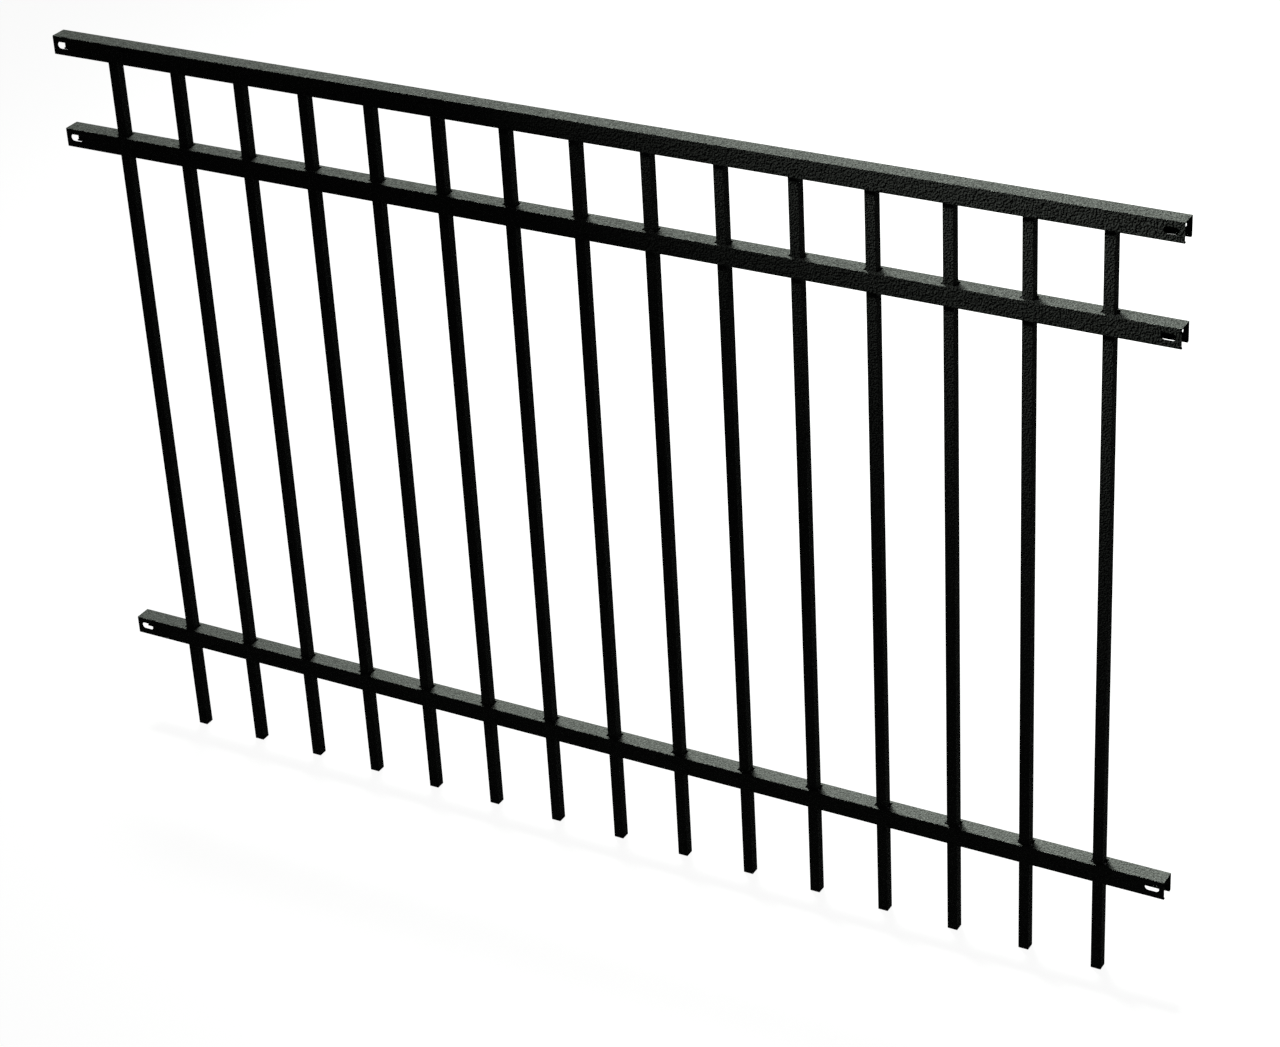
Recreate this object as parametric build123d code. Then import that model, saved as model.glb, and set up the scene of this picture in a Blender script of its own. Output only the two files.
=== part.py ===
"""Flat-topped aluminium fence panel: square pickets through three open-bottomed rails.

Millimetres. +X runs along the rails from the left cut end, -Y is the front of the panel
and +Z is up. The origin is on the left end face of the top rail, in the middle of its
width and half-way through its top wall.
"""

import os

from build123d import *

# Pickets: square tubes, evenly spaced along the rails
picket_count = 15
picket_pitch = 115.0
picket_side = 15.9
picket_wall = 1.3
picket_corner_radius = 0.6

# Heights, all taken down from the flat top of the panel
panel_height = 1219.2
middle_rail_drop = 151.2
bottom_rail_drop = 1030.8

# Rails: channels open underneath and at both ends, with a bead inside each lower edge
rail_overhang = 104.0  # from a rail's end to the middle of the first or last picket
rail_width = 28.0
rail_height = 30.2
rail_side_wall = 1.9
rail_top_wall = 1.8
rail_web = 1.6  # inner floor of the raceway that holds the retaining rod
rail_edge_radius = 1.0  # outer edges along the top
rail_foot_radius = 1.7  # outer edges along the bottom
bead_depth = 2.4  # how far a bead stands in from the side wall
bead_height = 2.4
bead_radius = 1.0  # inner upper edge of a bead

# Punched holes that the pickets pass through, longer than the picket so that the panel can rack
racking_room = 3.8
picket_side_clearance = 0.4

# Fixing slots through both side walls at each end of every rail
slot_length = 22.0
slot_width = 11.1
slot_end_distance = 18.4  # from the rail's end to the middle of the slot
slot_depth = 14.4  # from the rail's top to the middle of the slot
web_past_slot = 10.6  # how far beyond a slot the web is cut back

# Concealed retaining rods: one in each rail, resting on the web and passing through every picket
rod_diameter = 3.2
rod_seat_gap = 0.2
rod_head_room = 1.0
rod_hole_clearance = 0.2
rod_overrun = 12.0  # rod left beyond the first and last picket

# Sizes that follow from those above
first_picket_x = rail_overhang
last_picket_x = first_picket_x + (picket_count - 1) * picket_pitch
rail_length = last_picket_x + rail_overhang
picket_centres_x = [first_picket_x + i * picket_pitch for i in range(picket_count)]

rail_inner_width = rail_width - 2 * rail_side_wall
raceway_height = rod_seat_gap + rod_diameter + rod_head_room
web_top_depth = rail_top_wall + raceway_height
web_bottom_depth = web_top_depth + rail_web
rod_depth = web_top_depth - rod_seat_gap - rod_diameter / 2
web_setback = slot_end_distance + slot_length / 2 + web_past_slot

panel_top_z = rail_top_wall / 2
picket_top_z = panel_top_z - rail_top_wall
picket_foot_z = panel_top_z - panel_height
rail_tops_z = {
    "top": panel_top_z,
    "middle": panel_top_z - middle_rail_drop,
    "bottom": panel_top_z - bottom_rail_drop,
}
rod_heights_z = {name: top_z - rod_depth for name, top_z in rail_tops_z.items()}


def corners_at(section, across, height):
    """The two corners of a section at one distance from its middle and one height."""
    return section.vertices().filter_by(
        lambda v: abs(abs(v.X) - across) < 1e-3 and abs(v.Y - height) < 1e-3
    )


def rail_section():
    """Cross-section of a rail, drawn looking along it with its top face at height 0."""
    outside = Pos(0, -rail_height / 2) * Rectangle(rail_width, rail_height)
    raceway_middle = rail_top_wall + raceway_height / 2
    raceway = Pos(0, -raceway_middle) * Rectangle(rail_inner_width, raceway_height)
    hollow_height = rail_height - web_bottom_depth
    hollow_middle = web_bottom_depth + hollow_height / 2
    hollow = Pos(0, -hollow_middle) * Rectangle(rail_inner_width, hollow_height)
    bead_y = rail_inner_width / 2 - bead_depth / 2
    bead_z = bead_height / 2 - rail_height
    beads = [Pos(side * bead_y, bead_z) * Rectangle(bead_depth, bead_height) for side in (-1, 1)]
    section = outside - raceway - hollow + beads

    bead_edge_y = rail_inner_width / 2 - bead_depth
    rounded_corners = (
        (bead_edge_y, bead_height - rail_height, bead_radius),
        (rail_width / 2, 0, rail_edge_radius),
        (rail_width / 2, -rail_height, rail_foot_radius),
    )
    for across, height, radius in rounded_corners:
        section = fillet(corners_at(section, across, height), radius)
    return section


def end_slots(top_z):
    """Round-ended slots through both walls, near the left and right end of one rail."""
    outline = SlotOverall(slot_length, slot_width)
    cutter = extrude(Plane.XZ * outline, rail_width, both=True)
    middles_x = (slot_end_distance, rail_length - slot_end_distance)
    return [Pos(x, 0, top_z - slot_depth) * cutter for x in middles_x]


def web_ends(top_z):
    """Both ends of the web, which are cut away so that the slots are clear inside the rail."""
    cutter = Box(web_setback, rail_inner_width, rail_web)
    middle_z = top_z - (web_top_depth + web_bottom_depth) / 2
    middles_x = (web_setback / 2, rail_length - web_setback / 2)
    return [Pos(x, 0, middle_z) * cutter for x in middles_x]


def picket_holes(from_z, to_z):
    """One punched hole for each picket, cut between two heights."""
    length = picket_side + 2 * racking_room
    width = picket_side + 2 * picket_side_clearance
    cutter = extrude(Rectangle(length, width), to_z - from_z)
    return [Pos(x, 0, from_z) * cutter for x in picket_centres_x]


def rail(name):
    """One rail. The top rail's own top stays whole, and the pickets end under it."""
    top_z = rail_tops_z[name]
    web_bottom_z = top_z - web_bottom_depth
    section = Pos(0, 0, top_z) * (Plane.YZ * rail_section())
    body = extrude(section, rail_length) - web_ends(top_z) - end_slots(top_z)
    holes_end_z = picket_top_z if name == "top" else top_z
    return body - picket_holes(web_bottom_z, holes_end_z)


def picket(centre_x):
    """One picket: a square tube, punched from side to side with square holes for the rods."""
    outside = RectangleRounded(picket_side, picket_side, picket_corner_radius)
    inner_side = picket_side - 2 * picket_wall
    section = outside - Rectangle(inner_side, inner_side)
    tube = Pos(centre_x, 0, picket_foot_z) * extrude(section, picket_top_z - picket_foot_z)
    hole_side = rod_diameter + 2 * rod_hole_clearance
    cutter = extrude(Plane.YZ * Rectangle(hole_side, hole_side), picket_side, both=True)
    return tube - [Pos(centre_x, 0, z) * cutter for z in rod_heights_z.values()]


def retaining_rod(name):
    """The round rod inside one rail, a little longer than the row of pickets."""
    reach = picket_side / 2 + rod_overrun
    start_x = first_picket_x - reach
    length = last_picket_x + reach - start_x
    return Pos(start_x, 0, rod_heights_z[name]) * extrude(Plane.YZ * Circle(rod_diameter / 2), length)


pieces = {}
for rail_name in rail_tops_z:
    pieces[f"{rail_name}_rail"] = rail(rail_name)
    pieces[f"{rail_name}_retaining_rod"] = retaining_rod(rail_name)
for number, x in enumerate(picket_centres_x, start=1):
    pieces[f"picket_{number:02d}"] = picket(x)

os.makedirs("parts", exist_ok=True)
for piece_name, piece in pieces.items():
    export_step(piece, f"parts/{piece_name}.step")
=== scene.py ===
"""Black aluminium fence panel: finished meshes, powder coat and studio, laid out as an add-on.

Each piece is modelled in metres over the solid that it stands for, in the same frame: X runs along
the rails from their left ends, the front of the panel faces -Y and Z is up.
"""

import math
from contextlib import contextmanager

import bmesh
import bpy
from bpy.props import FloatProperty, FloatVectorProperty, IntProperty, PointerProperty
from mathutils import Matrix, Vector


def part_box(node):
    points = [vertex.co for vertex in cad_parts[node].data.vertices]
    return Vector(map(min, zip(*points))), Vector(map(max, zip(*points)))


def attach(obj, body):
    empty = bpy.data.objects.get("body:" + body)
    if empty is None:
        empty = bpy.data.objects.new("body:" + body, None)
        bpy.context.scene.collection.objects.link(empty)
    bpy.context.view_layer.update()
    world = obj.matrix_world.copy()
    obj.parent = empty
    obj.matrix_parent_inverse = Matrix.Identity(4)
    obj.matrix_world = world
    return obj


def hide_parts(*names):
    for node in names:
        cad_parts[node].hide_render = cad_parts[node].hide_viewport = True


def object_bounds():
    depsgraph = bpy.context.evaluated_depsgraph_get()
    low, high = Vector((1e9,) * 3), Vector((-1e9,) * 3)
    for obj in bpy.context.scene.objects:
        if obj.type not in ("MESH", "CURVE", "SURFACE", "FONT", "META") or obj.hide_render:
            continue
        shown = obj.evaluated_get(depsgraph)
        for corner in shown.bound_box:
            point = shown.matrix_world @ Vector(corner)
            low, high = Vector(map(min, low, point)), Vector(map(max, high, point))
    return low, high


bl_info = {
    "name": "Fence Panel",
    "version": (1, 0, 0),
    "blender": (4, 5, 0),
    "location": "View3D > Sidebar > Fence Panel",
    "description": "Models a flat-topped aluminium fence panel, its powder coat and a plain studio",
    "category": "Object",
}

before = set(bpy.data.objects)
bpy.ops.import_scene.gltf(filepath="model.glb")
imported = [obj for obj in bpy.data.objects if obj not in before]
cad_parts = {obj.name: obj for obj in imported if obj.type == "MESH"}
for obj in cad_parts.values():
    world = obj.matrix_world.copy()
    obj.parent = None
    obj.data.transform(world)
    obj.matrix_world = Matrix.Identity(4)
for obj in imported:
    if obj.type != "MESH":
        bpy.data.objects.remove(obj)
CAD_LOW, CAD_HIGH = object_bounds()

RAIL_NODES = ("top_rail", "middle_rail", "bottom_rail")
ROD_NODES = ("top_retaining_rod", "middle_retaining_rod", "bottom_retaining_rod")
PICKET_NODES = sorted(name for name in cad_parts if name.startswith("picket_"))
BODY = "root"
TINY = 1e-5  # two places nearer than this are the same place
UPRIGHT = 0.9  # a normal with more Z than this faces up or down
SMOOTH_ANGLE = math.radians(35)  # faces that meet at less than this shade as one
CORNER_ANGLE = math.radians(40)  # faces that meet at more than this make an edge to round
SOFT_STEPS = 2  # flats on a softened edge
GRAIN_LEVELS = (0.34, 0.66)  # noise levels drawn as bare coat and as the crest of a grain
DIMPLE_LEVELS = (0.3, 0.7)  # noise levels drawn as the smoothest and the roughest coat
MARK_LEVELS = (0.3, 0.7)  # noise levels drawn as the smoothest and the roughest steel
MARK_STRETCH = 20.0  # how much longer than wide a drawing mark is
MARK_SHADE = 0.7  # the darkest drawing mark, as a share of the steel's colour
STEEL_ROUGHNESS = (0.35, 0.5)
SENSOR_WIDTH = 36.0  # millimetres


def picket_centre(node):
    """Middle of one picket along the panel."""
    low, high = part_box(node)
    return (low.x + high.x) / 2


def length_property(label, description, default):
    """A size in metres, shown with its unit."""
    return FloatProperty(
        name=label,
        description=description,
        default=default,
        min=0.0,
        precision=5,
        unit="LENGTH",
        subtype="DISTANCE",
    )


def colour_property(label, description, default):
    """A linear colour without alpha."""
    return FloatVectorProperty(
        name=label,
        description=description,
        default=default,
        size=3,
        min=0.0,
        max=1.0,
        subtype="COLOR",
    )


def place_property(label, description, default):
    """A point in the panel's frame."""
    return FloatVectorProperty(
        name=label,
        description=description,
        default=default,
        size=3,
        unit="LENGTH",
        subtype="XYZ",
    )


def angle_property(label, description, degrees):
    """An angle, kept in radians and shown in degrees."""
    return FloatProperty(
        name=label,
        description=description,
        default=math.radians(degrees),
        unit="ROTATION",
        subtype="ANGLE",
    )


def factor_property(label, description, default):
    """A share between nothing and all."""
    return FloatProperty(
        name=label,
        description=description,
        default=default,
        min=0.0,
        max=1.0,
        precision=4,
        subtype="FACTOR",
    )


def power_property(label, description, default):
    """The power of a light."""
    return FloatProperty(
        name=label,
        description=description,
        default=default,
        min=0.0,
        unit="POWER",
    )


class RailSizes(bpy.types.PropertyGroup):
    """Sizes of the channel that all three rails are cut from."""

    side_wall: length_property("Side Wall", "Thickness of a rail's two side walls", 0.0019)
    top_wall: length_property("Top Wall", "Thickness of a rail's top", 0.0018)
    raceway: length_property("Raceway", "Clear height of the rod's raceway under the top", 0.0044)
    web: length_property("Web", "Thickness of the raceway's floor", 0.0016)
    web_setback: length_property("Web Setback", "From a rail's end to the end of its web", 0.0400)
    edge_radius: length_property("Edge Radius", "Rounding of the outer upper edges", 0.0010)
    foot_radius: length_property("Foot Radius", "Rounding of the outer lower edges", 0.0017)
    bead_depth: length_property("Bead Depth", "How far a bead stands in from its wall", 0.0028)
    bead_height: length_property("Bead Height", "Height of the bead inside a lower edge", 0.0024)
    bead_radius: length_property("Bead Radius", "Rounding of a bead's upper edge", 0.0010)
    bead_foot_radius: length_property("Bead Foot Radius", "Rounding of a bead's lower edge", 0.0001)
    slot_length: length_property("Slot Length", "End-to-end length of a fixing slot", 0.0220)
    slot_width: length_property("Slot Width", "Height of a fixing slot", 0.0111)
    slot_end: length_property("Slot Position", "From a rail's end to the middle of its slot", 0.0184)
    slot_drop: length_property("Slot Drop", "From a rail's top to the middle of its slot", 0.0144)
    hole_length: length_property("Hole Length", "Punched picket hole, along the rail", 0.0235)
    hole_width: length_property("Hole Width", "Punched picket hole, across the rail", 0.0167)
    soft_edge: length_property("Soft Edge", "Rounding that the coat leaves on cut edges", 0.0003)
    arc_steps: IntProperty(
        name="Arc Steps", description="Flats on each quarter turn", default=6, min=2
    )


class PicketSizes(bpy.types.PropertyGroup):
    """Sizes of the square tube that the pickets are cut from."""

    wall: length_property("Wall", "Thickness of the tube's wall", 0.0013)
    corner_radius: length_property("Corner Radius", "Rounding of the long corners", 0.0006)
    soft_edge: length_property("Soft Edge", "Rounding that the coat leaves on cut edges", 0.0002)
    arc_steps: IntProperty(
        name="Arc Steps", description="Flats on each quarter turn", default=4, min=1
    )


class RodSizes(bpy.types.PropertyGroup):
    """Sizes of the retaining rods."""

    end_chamfer: length_property("End Chamfer", "Chamfer on the cut ends of a rod", 0.0004)
    flats: IntProperty(name="Flats", description="Flats round a rod", default=24, min=8)


class FinishSettings(bpy.types.PropertyGroup):
    """Colours and textures of the coat and of the rods."""

    coat: colour_property("Coat", "Powder coat between the grains", (0.018, 0.0189, 0.0179))
    grain: colour_property("Grain", "Crests of the powder coat's grains", (0.120, 0.1260, 0.1194))
    gloss_tint: colour_property("Gloss Tint", "Cast of the coat's reflections", (0.93, 1.0, 0.92))
    gloss: factor_property("Gloss Level", "Strength of the coat's reflections", 0.0005)
    smoothest: factor_property("Smoothest", "Least roughness of the coat", 0.45)
    roughest: factor_property("Roughest", "Greatest roughness of the coat", 0.60)
    grain_size: length_property("Grain Size", "Size of one grain of the coat", 0.0024)
    dimple_size: length_property("Dimple Size", "Size of one dimple of the coat", 0.0026)
    dimple_range: length_property("Dimple Range", "Depth from the noise's 0 to its 1", 0.0046)
    rod: colour_property("Rod", "Plated steel of the retaining rods", (0.10, 0.10, 0.105))
    rod_mark: length_property("Rod Mark", "Width of the drawing marks on the rods", 0.0005)


class StudioSettings(bpy.types.PropertyGroup):
    """Camera, lights and floor."""

    eye: place_property("Camera", "Where the camera stands", (3.15045, -3.68295, 1.75731))
    pan: angle_property("Pan", "Camera turned to the left of straight ahead", 30.548)
    tilt: angle_property("Tilt", "Camera tipped down", 29.247)
    roll: angle_property("Roll", "Camera turned about its line of sight", -3.381)
    lens: FloatProperty(
        name="Lens",
        description="Focal length of the camera",
        default=92.692,
        min=1.0,
        subtype="DISTANCE_CAMERA",
    )
    floor: colour_property("Floor", "What the lights add to the floor's glow", (0.05, 0.05, 0.05))
    floor_glow: factor_property("Floor Glow", "White that the floor shows even in shadow", 0.95)
    floor_bounce: colour_property(
        "Floor Bounce", "Floor's colour for the light that it throws back", (0.02, 0.02, 0.02)
    )
    floor_size: length_property("Floor Size", "Side of the square floor", 24.0)
    light_colour: colour_property("Light Colour", "Cast of both soft lights", (0.95, 1.0, 0.94))
    back_place: place_property("Back Light Place", "Where the soft light behind hangs", (-0.9, 3.0, 8.0))
    back_aim: place_property("Back Light Aim", "Where the soft light behind points", (1.4, 2.5, -0.6))
    back_size: length_property("Back Light Size", "Side of the soft light behind", 2.0)
    back_light: power_property("Back Light", "Power of the soft light behind", 515.0)
    back_spread: angle_property("Back Light Spread", "Width of the beam from behind", 40)
    front_place: place_property("Front Light Place", "Where the small fill hangs", (0.0, -0.85, 1.5))
    front_aim: place_property("Front Light Aim", "Where the small fill points", (1.4, 0.0, 0.98))
    front_size: length_property("Front Light Size", "Side of the small fill", 0.5)
    front_light: power_property("Front Light", "Power of the small fill", 12.0)
    front_spread: angle_property("Front Light Spread", "Width of the fill's beam", 66)
    surround: factor_property("Surround", "Light that the room itself throws on the panel", 0.02)


def start_clean():
    """Leave edit mode and select nothing."""
    if bpy.context.object and bpy.context.object.mode != "OBJECT":
        bpy.ops.object.mode_set(mode="OBJECT")
    bpy.ops.object.select_all(action="DESELECT")


def select_only(piece):
    """Select one piece and make it the active one."""
    start_clean()
    bpy.context.view_layer.objects.active = piece
    piece.select_set(True)


def settle(piece):
    """Put a new piece's place into its mesh, so that the object sits at the origin."""
    bpy.ops.object.transform_apply(location=True, rotation=True, scale=True)
    return piece


@contextmanager
def editing(piece):
    """Work on one piece in edit mode."""
    select_only(piece)
    bpy.ops.object.mode_set(mode="EDIT")
    yield
    bpy.ops.object.mode_set(mode="OBJECT")


def pick_points(piece, wanted):
    """Select the vertices whose place passes a test."""
    bpy.ops.mesh.select_mode(type="VERT")
    bpy.ops.mesh.select_all(action="DESELECT")
    mesh = bmesh.from_edit_mesh(piece.data)
    for point in mesh.verts:
        point.select_set(wanted(point.co))
    mesh.select_flush_mode()
    bmesh.update_edit_mesh(piece.data)


def pick_edges(piece, wanted):
    """Select the edges whose two ends pass a test."""
    bpy.ops.mesh.select_mode(type="EDGE")
    bpy.ops.mesh.select_all(action="DESELECT")
    mesh = bmesh.from_edit_mesh(piece.data)
    for edge in mesh.edges:
        a, b = (point.co for point in edge.verts)
        edge.select_set(wanted(a, b))
    bmesh.update_edit_mesh(piece.data)


def pick_sharp_edges(piece, wanted):
    """Select the edges between faces that meet at a corner, where both ends pass a test."""
    bpy.ops.mesh.select_mode(type="EDGE")
    bpy.ops.mesh.select_all(action="DESELECT")
    mesh = bmesh.from_edit_mesh(piece.data)
    for edge in mesh.edges:
        a, b = (point.co for point in edge.verts)
        sharp = edge.is_manifold and edge.calc_face_angle() > CORNER_ANGLE
        edge.select_set(sharp and wanted(a, b))
    bmesh.update_edit_mesh(piece.data)


def pick_faces(piece, wanted):
    """Select the faces whose middle and normal pass a test."""
    bpy.ops.mesh.select_mode(type="FACE")
    bpy.ops.mesh.select_all(action="DESELECT")
    mesh = bmesh.from_edit_mesh(piece.data)
    for face in mesh.faces:
        face.select_set(wanted(face.calc_center_median(), face.normal))
    bmesh.update_edit_mesh(piece.data)


def extrude_edges(x=0.0, y=0.0, z=0.0):
    """Draw the selected edges out into faces."""
    bpy.ops.mesh.extrude_edges_move(TRANSFORM_OT_translate={"value": (x, y, z)})


def round_edges(radius, steps):
    """Round the selected edges."""
    bpy.ops.mesh.bevel(
        offset_type="OFFSET",
        offset=radius,
        segments=steps,
        profile=0.5,
        affect="EDGES",
        clamp_overlap=True,
    )


def same(a, b):
    """True where two lengths agree."""
    return abs(a - b) < TINY


def cut_away(piece, cutter):
    """Take the cutter's shape out of a piece, and throw the cutter away."""
    select_only(piece)
    cut = piece.modifiers.new("Cut", "BOOLEAN")
    cut.operation = "DIFFERENCE"
    cut.solver = "EXACT"
    cut.object = cutter
    bpy.ops.object.modifier_apply(modifier=cut.name)
    bpy.data.objects.remove(cutter)


def finish_piece(piece, name, node, material):
    """Name a piece, smooth its rounded edges, coat it and let it stand for its solid."""
    select_only(piece)
    bpy.ops.object.shade_smooth_by_angle(angle=SMOOTH_ANGLE)
    # Large flats keep their own normal right up to their rounded edges
    flats = piece.modifiers.new("Flats", "WEIGHTED_NORMAL")
    flats.mode = "FACE_AREA"
    flats.weight = 100
    flats.keep_sharp = True
    bpy.ops.object.modifier_apply(modifier=flats.name)
    piece.name = name
    piece.data.name = name
    piece.data.materials.clear()
    piece.data.materials.append(material)
    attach(piece, BODY)
    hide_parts(node)
    return piece


class Nodes:
    """Adds and wires the shader nodes of one material."""

    def __init__(self, name):
        self.material = bpy.data.materials.new(name)
        self.material.use_nodes = True
        self.tree = self.material.node_tree
        self.shader = self.tree.nodes["Principled BSDF"]

    def add(self, kind, **settings):
        """A new node with some of its settings."""
        node = self.tree.nodes.new(kind)
        for key, value in settings.items():
            setattr(node, key, value)
        return node

    def link(self, source, target):
        """One wire between two sockets."""
        self.tree.links.new(source, target)

    def noise(self, place, size, detail, roughness):
        """Noise whose features are about as large as size."""
        node = self.add("ShaderNodeTexNoise")
        node.inputs["Scale"].default_value = 1 / size
        node.inputs["Detail"].default_value = detail
        node.inputs["Roughness"].default_value = roughness
        self.link(place, node.inputs["Vector"])
        return node.outputs["Fac"]

    def remap(self, value, from_low, from_high, to_low, to_high):
        """A value stretched from one range to another."""
        node = self.add("ShaderNodeMapRange")
        for socket, number in (
            ("From Min", from_low),
            ("From Max", from_high),
            ("To Min", to_low),
            ("To Max", to_high),
        ):
            node.inputs[socket].default_value = number
        self.link(value, node.inputs["Value"])
        return node.outputs["Result"]

    def blend(self, factor, low, high):
        """A colour between two others."""
        node = self.add("ShaderNodeMix", data_type="RGBA")
        node.inputs["A"].default_value = (*low, 1.0)
        node.inputs["B"].default_value = (*high, 1.0)
        self.link(factor, node.inputs["Factor"])
        return node.outputs["Result"]


def powder_coat(finish):
    """Fine-textured black powder coat: pale grains, small dimples and hardly any gloss."""
    coat = bpy.data.materials.get("black_powder_coat")
    if coat:
        return coat
    nodes = Nodes("black_powder_coat")
    place = nodes.add("ShaderNodeTexCoord").outputs["Object"]
    grain = nodes.noise(place, finish.grain_size, 4.0, 0.75)
    dimples = nodes.noise(place, finish.dimple_size, 0.0, 0.5)
    crests = nodes.remap(grain, *GRAIN_LEVELS, 0.0, 1.0)
    roughness = nodes.remap(dimples, *DIMPLE_LEVELS, finish.smoothest, finish.roughest)
    nodes.link(nodes.blend(crests, finish.coat, finish.grain), nodes.shader.inputs["Base Color"])
    nodes.link(roughness, nodes.shader.inputs["Roughness"])
    bump = nodes.add("ShaderNodeBump")
    bump.inputs["Strength"].default_value = 1.0
    bump.inputs["Distance"].default_value = finish.dimple_range
    nodes.link(dimples, bump.inputs["Height"])
    nodes.link(bump.outputs["Normal"], nodes.shader.inputs["Normal"])
    nodes.shader.inputs["Specular IOR Level"].default_value = finish.gloss
    nodes.shader.inputs["Specular Tint"].default_value = (*finish.gloss_tint, 1.0)
    return nodes.material


def plated_steel(finish):
    """Dark plated steel with faint drawing marks along the rod."""
    nodes = Nodes("dark_plated_steel")
    place = nodes.add("ShaderNodeTexCoord").outputs["Object"]
    stretch = nodes.add("ShaderNodeMapping")
    stretch.inputs["Scale"].default_value = (1 / MARK_STRETCH, 1.0, 1.0)
    nodes.link(place, stretch.inputs["Vector"])
    marks = nodes.noise(stretch.outputs["Vector"], finish.rod_mark, 3.0, 0.6)
    roughness = nodes.remap(marks, *MARK_LEVELS, *STEEL_ROUGHNESS)
    dark = [MARK_SHADE * part for part in finish.rod]
    nodes.link(nodes.blend(marks, dark, finish.rod), nodes.shader.inputs["Base Color"])
    nodes.link(roughness, nodes.shader.inputs["Roughness"])
    nodes.shader.inputs["Metallic"].default_value = 1.0
    return nodes.material


def rail_blank(node, sizes):
    """The channel of one rail, before it is punched."""
    low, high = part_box(node)
    width = high.y - low.y
    inner = width / 2 - sizes.side_wall
    under_top = high.z - sizes.top_wall
    web_top = under_top - sizes.raceway
    web_bottom = web_top - sizes.web
    bead_top = low.z + sizes.bead_height
    bead_edge = inner - sizes.bead_depth
    web_start = low.x + sizes.web_setback
    web_stop = high.x - sizes.web_setback

    def beside_web(middle, normal):
        """The strips of the inner walls that the web joins."""
        return same(abs(middle.y), inner) and web_bottom < middle.z < web_top

    start_clean()
    bpy.ops.mesh.primitive_plane_add(
        size=1,
        location=(low.x, 0, high.z - sizes.top_wall / 2),
        rotation=(0, math.pi / 2, 0),
    )
    rail = bpy.context.object
    rail.scale = (sizes.top_wall, width, 1)
    settle(rail)

    with editing(rail):
        for y in (-inner, inner):
            bpy.ops.mesh.select_all(action="SELECT")
            bpy.ops.mesh.bisect(plane_co=(0, y, 0), plane_no=(0, 1, 0))
        # The side walls, drawn down from the top in four lengths
        pick_edges(
            rail,
            lambda a, b: same(a.z, under_top) and same(b.z, under_top) and abs(a.y + b.y) / 2 > inner,
        )
        for drop in (sizes.raceway, sizes.web, web_bottom - bead_top, sizes.bead_height):
            extrude_edges(z=-drop)
        # A bead inside the lower edge of each wall
        for side in (-1, 1):
            pick_edges(
                rail,
                lambda a, b: same(a.y, side * inner) and same(b.y, side * inner)
                and same(max(a.z, b.z), bead_top) and same(min(a.z, b.z), low.z),
            )
            extrude_edges(y=-side * sizes.bead_depth)
        bpy.ops.mesh.select_mode(type="FACE")
        bpy.ops.mesh.select_all(action="SELECT")
        bpy.ops.mesh.extrude_region_move(TRANSFORM_OT_translate={"value": (high.x - low.x, 0, 0)})
        bpy.ops.mesh.select_all(action="SELECT")
        bpy.ops.mesh.normals_make_consistent(inside=False)
        # The raceway's floor, bridged across from wall to wall short of the rail's ends
        for x in (web_start, web_stop):
            pick_faces(rail, beside_web)
            bpy.ops.mesh.bisect(plane_co=(x, 0, 0), plane_no=(1, 0, 0))
        pick_faces(
            rail,
            lambda middle, normal: beside_web(middle, normal) and web_start < middle.x < web_stop,
        )
        bpy.ops.mesh.bridge_edge_loops()
        for edge_y, edge_z, radius in (
            (width / 2, high.z, sizes.edge_radius),
            (width / 2, low.z, sizes.foot_radius),
            (bead_edge, bead_top, sizes.bead_radius),
            (bead_edge, low.z, sizes.bead_foot_radius),
        ):
            pick_sharp_edges(
                rail,
                lambda a, b: same(abs(a.y), edge_y) and same(a.y, b.y)
                and same(a.z, edge_z) and same(b.z, edge_z),
            )
            round_edges(radius, sizes.arc_steps)
    return rail


def slot_cutter(x, z, depth, sizes):
    """A round-ended bar across the rail, drawn out of a cylinder."""
    steps = 8 * sizes.arc_steps
    straight = sizes.slot_length - sizes.slot_width
    start_clean()
    bpy.ops.mesh.primitive_cylinder_add(
        vertices=steps,
        radius=sizes.slot_width / 2,
        depth=depth,
        location=(x - straight / 2, 0, z),
        rotation=(math.pi / 2, math.pi / steps, 0),
    )
    cutter = settle(bpy.context.object)
    with editing(cutter):
        pick_points(cutter, lambda place: place.x > x - straight / 2)
        bpy.ops.transform.translate(value=(straight, 0, 0))
    return cutter


def picket_hole_cutter(low_z, high_z, sizes):
    """A row of square bars, one for each picket."""
    first, second = (picket_centre(node) for node in PICKET_NODES[:2])
    start_clean()
    bpy.ops.mesh.primitive_cube_add(size=1, location=(first, 0, (low_z + high_z) / 2))
    cutter = bpy.context.object
    cutter.scale = (sizes.hole_length, sizes.hole_width, high_z - low_z)
    settle(cutter)
    row = cutter.modifiers.new("Row", "ARRAY")
    row.count = len(PICKET_NODES)
    row.use_relative_offset = False
    row.use_constant_offset = True
    row.constant_offset_displace = (second - first, 0, 0)
    bpy.ops.object.modifier_apply(modifier=row.name)
    return cutter


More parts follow.
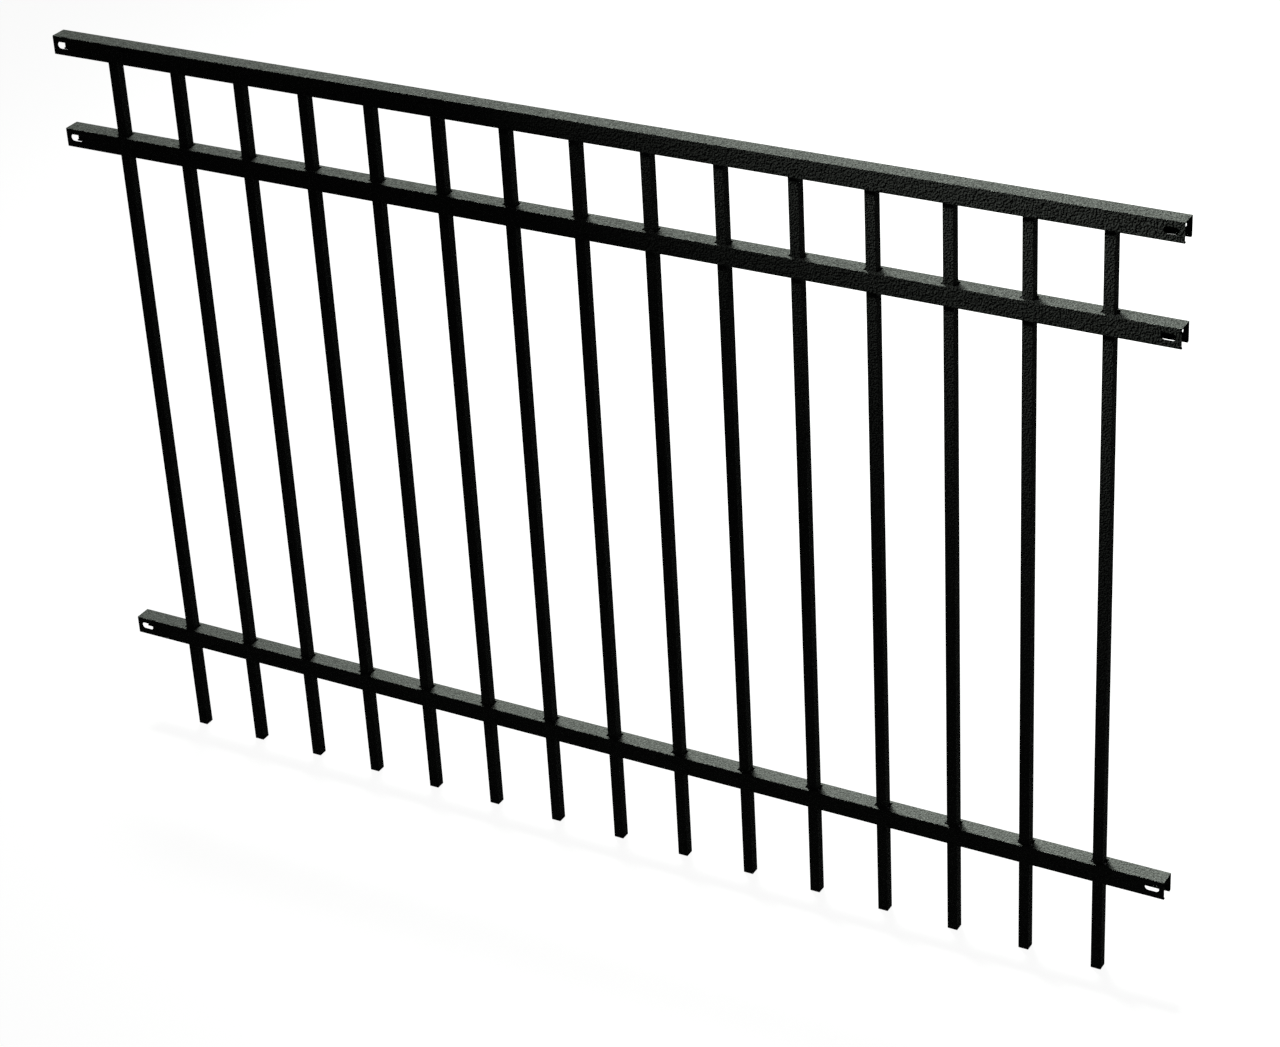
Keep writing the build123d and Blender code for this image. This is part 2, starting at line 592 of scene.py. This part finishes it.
def model_rail(node, sizes):
    """One rail, punched and slotted, with the edges that show softened."""
    low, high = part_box(node)
    rail = rail_blank(node, sizes)
    under_top = high.z - sizes.top_wall
    under_web = under_top - sizes.raceway - sizes.web
    margin = sizes.top_wall
    # The top rail's own top stays whole, and the pickets end under it
    holes_end = under_top - sizes.raceway / 2 if node == "top_rail" else high.z + margin
    cut_away(rail, picket_hole_cutter(under_web - margin, holes_end, sizes))
    for x in (low.x + sizes.slot_end, high.x - sizes.slot_end):
        cut_away(rail, slot_cutter(x, high.z - sizes.slot_drop, 2 * (high.y - low.y), sizes))

    def on_outside(a, b):
        """Edges of the cut ends, of the slots' mouths and of the holes in the top."""
        at_end = same(a.x, b.x) and (same(a.x, low.x) or same(a.x, high.x))
        at_slot = same(abs(a.y), high.y) and same(a.y, b.y)
        at_hole = same(a.z, high.z) and same(b.z, high.z)
        return at_end or at_slot or at_hole

    with editing(rail):
        pick_sharp_edges(rail, on_outside)
        round_edges(sizes.soft_edge, SOFT_STEPS)
    return rail


def model_picket(node, sizes):
    """One square tube with rounded corners and softened cut ends."""
    low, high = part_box(node)
    start_clean()
    bpy.ops.mesh.primitive_cube_add(size=1, location=(low + high) / 2)
    tube = bpy.context.object
    tube.scale = high - low
    settle(tube)
    with editing(tube):
        pick_faces(tube, lambda middle, normal: abs(normal.z) > UPRIGHT)
        bpy.ops.mesh.inset(thickness=sizes.wall, use_individual=True)
        bpy.ops.mesh.bridge_edge_loops()
        pick_edges(
            tube,
            lambda a, b: not same(a.z, b.z) and same(abs(a.y), high.y)
            and (same(a.x, low.x) or same(a.x, high.x)),
        )
        round_edges(sizes.corner_radius, sizes.arc_steps)
        pick_sharp_edges(tube, lambda a, b: same(a.z, low.z) and same(b.z, low.z))
        round_edges(sizes.soft_edge, SOFT_STEPS)
        bpy.ops.mesh.select_all(action="SELECT")
        bpy.ops.mesh.normals_make_consistent(inside=False)
    return tube


def model_rod(node, sizes):
    """One round bar with chamfered ends."""
    low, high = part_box(node)
    start_clean()
    bpy.ops.mesh.primitive_cylinder_add(
        vertices=sizes.flats,
        radius=(high.z - low.z) / 2,
        depth=high.x - low.x,
        location=(low + high) / 2,
        rotation=(0, math.pi / 2, 0),
    )
    rod = settle(bpy.context.object)
    with editing(rod):
        pick_sharp_edges(rod, lambda a, b: same(a.x, b.x))
        round_edges(sizes.end_chamfer, 1)
    return rod


class FENCE_OT_rails(bpy.types.Operator):
    """Model the three rails"""

    bl_idname = "fence_panel.rails"
    bl_label = "Model Rails"

    def execute(self, context):
        coat = powder_coat(context.scene.fence_finish)
        for node in RAIL_NODES:
            rail = model_rail(node, context.scene.fence_rails)
            finish_piece(rail, f"coated_{node}", node, coat)
        return {"FINISHED"}


class FENCE_OT_pickets(bpy.types.Operator):
    """Model one picket and set a copy of it in every place"""

    bl_idname = "fence_panel.pickets"
    bl_label = "Model Pickets"

    def execute(self, context):
        coat = powder_coat(context.scene.fence_finish)
        first = PICKET_NODES[0]
        pattern = model_picket(first, context.scene.fence_pickets)
        copies = {first: pattern}
        for node in PICKET_NODES[1:]:
            select_only(pattern)
            bpy.ops.object.duplicate(linked=False)
            copy = bpy.context.object
            bpy.ops.transform.translate(value=(picket_centre(node) - picket_centre(first), 0, 0))
            copies[node] = settle(copy)
        for node, picket in copies.items():
            finish_piece(picket, f"coated_{node}", node, coat)
        return {"FINISHED"}


class FENCE_OT_rods(bpy.types.Operator):
    """Model the retaining rods inside the rails"""

    bl_idname = "fence_panel.rods"
    bl_label = "Model Retaining Rods"

    def execute(self, context):
        steel = plated_steel(context.scene.fence_finish)
        for node in ROD_NODES:
            rod = model_rod(node, context.scene.fence_rods)
            finish_piece(rod, f"plated_{node}", node, steel)
        return {"FINISHED"}


def seen_directly(tree):
    """One for rays from the camera, mirrors and glass, and zero for the rays that only light."""
    path = tree.nodes.new("ShaderNodeLightPath")
    total = path.outputs["Is Camera Ray"]
    for kind in ("Is Glossy Ray", "Is Transmission Ray"):
        either = tree.nodes.new("ShaderNodeMath")
        either.operation = "MAXIMUM"
        tree.links.new(total, either.inputs[0])
        tree.links.new(path.outputs[kind], either.inputs[1])
        total = either.outputs["Value"]
    return total


def lay_floor(studio):
    """A floor under the picket feet, white where it is seen and faintly shaded by the panel."""
    start_clean()
    middle = (CAD_LOW + CAD_HIGH) / 2
    bpy.ops.mesh.primitive_plane_add(
        size=studio.floor_size, location=(middle.x, middle.y, CAD_LOW.z)
    )
    floor = settle(bpy.context.object)
    floor.name = "floor"
    paint = Nodes("pale_floor")
    matt = paint.shader.inputs
    seen = seen_directly(paint.tree)
    paint.link(paint.blend(seen, studio.floor_bounce, studio.floor), matt["Base Color"])
    paint.link(paint.remap(seen, 0.0, 1.0, 0.0, studio.floor_glow), matt["Emission Strength"])
    matt["Emission Color"].default_value = (1.0, 1.0, 1.0, 1.0)
    matt["Roughness"].default_value = 1.0
    matt["Specular IOR Level"].default_value = 0.0
    floor.data.materials.append(paint.material)


def light_room(studio):
    """A surround that is white where it is seen, and dim where it lights the panel."""
    world = bpy.context.scene.world or bpy.data.worlds.new("studio")
    bpy.context.scene.world = world
    world.use_nodes = True
    tree = world.node_tree
    background = tree.nodes["Background"]
    background.inputs["Color"].default_value = (1.0, 1.0, 1.0, 1.0)
    strength = tree.nodes.new("ShaderNodeMapRange")
    strength.inputs["To Min"].default_value = studio.surround
    strength.inputs["To Max"].default_value = 1.0
    tree.links.new(seen_directly(tree), strength.inputs["Value"])
    tree.links.new(strength.outputs["Result"], background.inputs["Strength"])


def soft_light(name, place, target, size, power, spread, colour):
    """A square soft light aimed at a point."""
    start_clean()
    bpy.ops.object.light_add(type="AREA", location=place)
    lamp = bpy.context.object
    lamp.name = name
    lamp.rotation_euler = (Vector(target) - Vector(place)).to_track_quat("-Z", "Y").to_euler()
    lamp.data.shape = "SQUARE"
    lamp.data.size = size
    lamp.data.energy = power
    lamp.data.color = colour
    lamp.data.spread = spread
    lamp.visible_camera = False


def place_camera(studio):
    """The camera, from its pan, tilt and roll."""
    ahead = Vector(
        (
            -math.sin(studio.pan) * math.cos(studio.tilt),
            math.cos(studio.pan) * math.cos(studio.tilt),
            -math.sin(studio.tilt),
        )
    )
    level = Vector((math.cos(studio.pan), math.sin(studio.pan), 0.0))
    raised = level.cross(ahead)
    right = math.cos(studio.roll) * level + math.sin(studio.roll) * raised
    up = right.cross(ahead)
    start_clean()
    bpy.ops.object.camera_add()
    camera = bpy.context.object
    camera.name = "camera"
    turn = Matrix((right, up, -ahead)).transposed().to_4x4()
    camera.matrix_world = Matrix.Translation(Vector(studio.eye)) @ turn
    camera.data.sensor_fit = "HORIZONTAL"
    camera.data.sensor_width = SENSOR_WIDTH
    camera.data.lens = studio.lens
    bpy.context.scene.camera = camera


class FENCE_OT_stage(bpy.types.Operator):
    """Lay the floor, hang the lights and place the camera"""

    bl_idname = "fence_panel.stage"
    bl_label = "Set Stage"

    def execute(self, context):
        studio = context.scene.fence_studio
        lay_floor(studio)
        light_room(studio)
        soft_light(
            "back_light", studio.back_place, studio.back_aim, studio.back_size,
            studio.back_light, studio.back_spread, studio.light_colour,
        )
        soft_light(
            "front_light", studio.front_place, studio.front_aim, studio.front_size,
            studio.front_light, studio.front_spread, studio.light_colour,
        )
        place_camera(studio)
        context.scene.view_settings.view_transform = "Standard"
        return {"FINISHED"}


OPERATORS = (FENCE_OT_rails, FENCE_OT_pickets, FENCE_OT_rods, FENCE_OT_stage)
SETTINGS = {
    "fence_rails": RailSizes,
    "fence_pickets": PicketSizes,
    "fence_rods": RodSizes,
    "fence_finish": FinishSettings,
    "fence_studio": StudioSettings,
}


class FENCE_PT_panel(bpy.types.Panel):
    """Sidebar panel that lists the operators and their sizes"""

    bl_idname = "FENCE_PT_panel"
    bl_label = "Fence Panel"
    bl_space_type = "VIEW_3D"
    bl_region_type = "UI"
    bl_category = "Fence Panel"

    def draw(self, context):
        for operator in OPERATORS:
            self.layout.operator(operator.bl_idname)
        for name, group in SETTINGS.items():
            box = self.layout.box()
            box.label(text=group.__doc__)
            for key in group.__annotations__:
                box.prop(getattr(context.scene, name), key)


CLASSES = (*SETTINGS.values(), *OPERATORS, FENCE_PT_panel)


def register():
    """Add the classes and the scene's settings."""
    for cls in CLASSES:
        bpy.utils.register_class(cls)
    for name, group in SETTINGS.items():
        setattr(bpy.types.Scene, name, PointerProperty(type=group))


def unregister():
    """Take the settings and classes away again."""
    for name in SETTINGS:
        delattr(bpy.types.Scene, name)
    for cls in reversed(CLASSES):
        bpy.utils.unregister_class(cls)


def main():
    """Model the panel and set the stage."""
    register()
    bpy.ops.fence_panel.rails()
    bpy.ops.fence_panel.pickets()
    bpy.ops.fence_panel.rods()
    bpy.ops.fence_panel.stage()
    start_clean()


if __name__ == "__main__":
    main()
